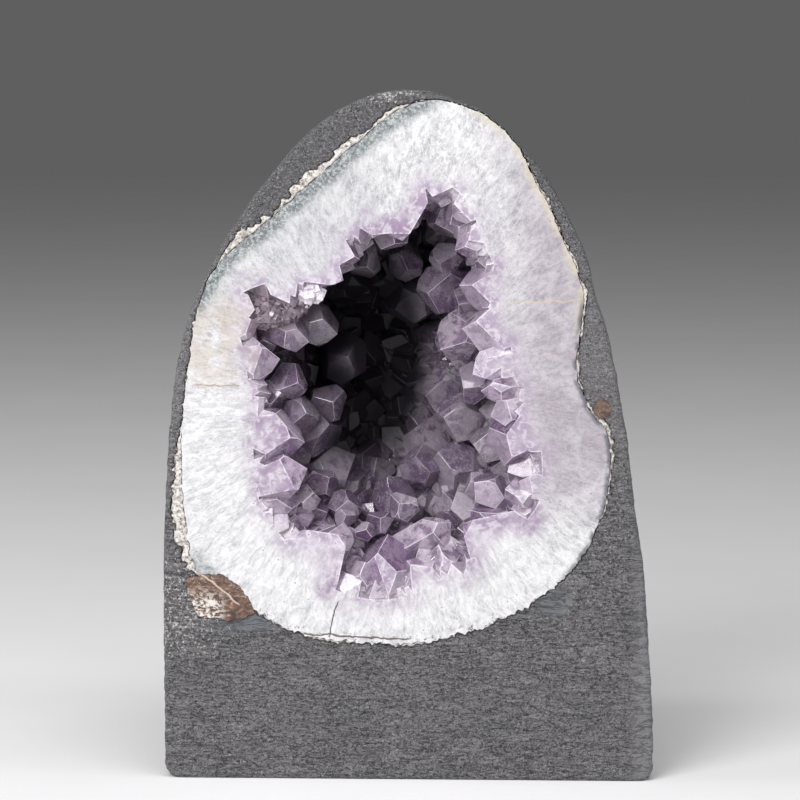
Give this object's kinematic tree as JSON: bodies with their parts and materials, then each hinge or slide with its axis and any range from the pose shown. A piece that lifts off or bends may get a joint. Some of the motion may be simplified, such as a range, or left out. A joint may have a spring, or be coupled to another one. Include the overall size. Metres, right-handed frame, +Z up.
{
  "type": "amethyst geode",
  "caption": "Arched half geode in a dark cement casing with a flat foot: the cut face shows a white quartz rind round a deep hollow lined with amethyst crystals.",
  "frame": {"origin": "centre of the bounding box at the bottom, on the surface that the foot stands on", "axes": "+Z up through the arch, -Y out of the cut face, +X to the viewer's right as the face is looked at"},
  "size_m": [0.136, 0.096, 0.19],
  "materials": {
    "cement": "matt, sandy",
    "chalk": "matt, crumbly",
    "milky_quartz": "polished cut face",
    "amethyst": "natural crystal faces, glassy",
    "calcite": "natural crystal faces, waxy",
    "jasper": "polished cut face"
  },
  "bodies": {
    "root": {"cement_casing": "cement", "chalky_crust": "chalk", "quartz_rind": "milky_quartz", "amethyst_crystals": "amethyst", "calcite_crystal": "calcite", "jasper_patch": "jasper", "jasper_fleck": "jasper"}
  },
  "joints": []
}
